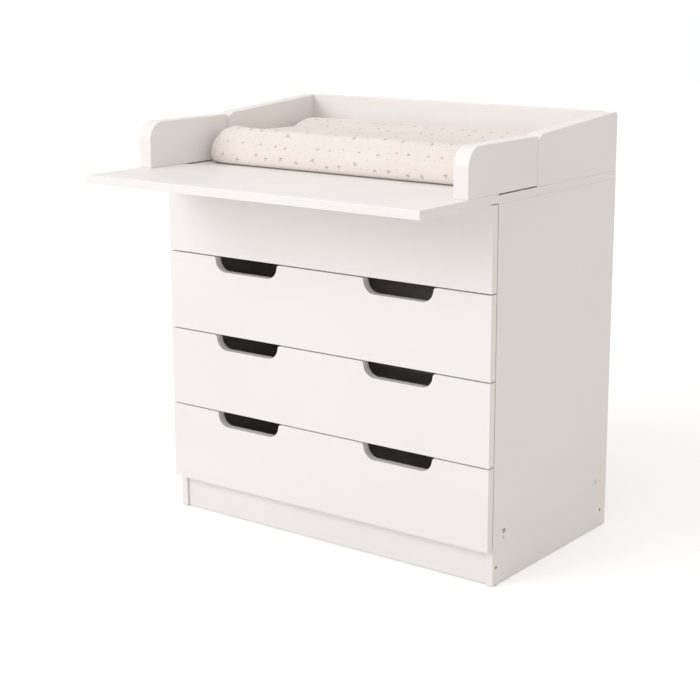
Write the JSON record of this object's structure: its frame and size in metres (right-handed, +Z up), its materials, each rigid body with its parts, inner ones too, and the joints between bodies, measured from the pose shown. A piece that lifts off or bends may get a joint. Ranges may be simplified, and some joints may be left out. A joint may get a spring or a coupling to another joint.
{
  "type": "changing dresser",
  "caption": "White chest of drawers with a railed changing top, a board reaching out over the front, finger cut-outs and a padded changing mat.",
  "frame": {"origin": "on the floor under the middle of the whole dresser, extension board included", "axes": "+Z up, -Y towards the drawer fronts, +X to the right of someone facing the drawers"},
  "size_m": [0.9, 0.788, 0.982],
  "materials": {
    "white_board": "satin white foil on chipboard",
    "box_board": "white foil on chipboard",
    "thin_sheet": "white-faced hardboard",
    "runner_steel": "white epoxy coat",
    "roller_nylon": "nylon",
    "mat_cover": "cream cotton cover with small sprigs over foam",
    "screw_steel": "zinc plated",
    "cap_plastic": "pale grey plastic",
    "glide_plastic": "dark plastic",
    "dowel_wood": "plain beech"
  },
  "bodies": {
    "chest": {"side_panel_left": "white_board", "side_panel_right": "white_board", "top_panel": "white_board", "shelf": "white_board", "front_plinth": "white_board", "rear_plinth": "white_board", "front_rail": "white_board", "back_panel": "thin_sheet", "extension_board": "white_board", "front_wing_left": "white_board", "front_wing_right": "white_board", "rear_wing_left": "white_board", "rear_wing_right": "white_board", "back_board": "white_board", "runner_1_left": "runner_steel", "runner_1_right": "runner_steel", "runner_2_left": "runner_steel", "runner_2_right": "runner_steel", "runner_3_left": "runner_steel", "runner_3_right": "runner_steel", "runner_4_left": "runner_steel", "runner_4_right": "runner_steel", "runner_rollers": "roller_nylon", "side_screws": "screw_steel", "cover_caps": "cap_plastic", "floor_glides": "glide_plastic", "joining_dowels": "dowel_wood"},
    "drawer_1": {"drawer_1_front": "white_board", "drawer_1_side_left": "box_board", "drawer_1_side_right": "box_board", "drawer_1_back": "box_board", "drawer_1_bottom": "thin_sheet", "drawer_1_slide_left": "runner_steel", "drawer_1_slide_right": "runner_steel", "drawer_1_rollers": "roller_nylon"},
    "drawer_2": {"drawer_2_front": "white_board", "drawer_2_side_left": "box_board", "drawer_2_side_right": "box_board", "drawer_2_back": "box_board", "drawer_2_bottom": "thin_sheet", "drawer_2_slide_left": "runner_steel", "drawer_2_slide_right": "runner_steel", "drawer_2_rollers": "roller_nylon"},
    "drawer_3": {"drawer_3_front": "white_board", "drawer_3_side_left": "box_board", "drawer_3_side_right": "box_board", "drawer_3_back": "box_board", "drawer_3_bottom": "thin_sheet", "drawer_3_slide_left": "runner_steel", "drawer_3_slide_right": "runner_steel", "drawer_3_rollers": "roller_nylon"},
    "drawer_4": {"drawer_4_front": "white_board", "drawer_4_side_left": "box_board", "drawer_4_side_right": "box_board", "drawer_4_back": "box_board", "drawer_4_bottom": "thin_sheet", "drawer_4_slide_left": "runner_steel", "drawer_4_slide_right": "runner_steel", "drawer_4_rollers": "roller_nylon"},
    "mat": {"changing_mat": "mat_cover"}
  },
  "joints": [
    {"name": "drawer_1_travel", "type": "slide", "parent": "chest", "child": "drawer_1", "axis": [0, -1, 0], "range_m": [0, 0.34]},
    {"name": "drawer_2_travel", "type": "slide", "parent": "chest", "child": "drawer_2", "axis": [0, -1, 0], "range_m": [0, 0.34]},
    {"name": "drawer_3_travel", "type": "slide", "parent": "chest", "child": "drawer_3", "axis": [0, -1, 0], "range_m": [0, 0.34]},
    {"name": "drawer_4_travel", "type": "slide", "parent": "chest", "child": "drawer_4", "axis": [0, -1, 0], "range_m": [0, 0.34]},
    {"name": "mat_lift", "type": "slide", "parent": "chest", "child": "mat", "axis": [0, 0, 1], "range_m": [0, 0.3]}
  ]
}
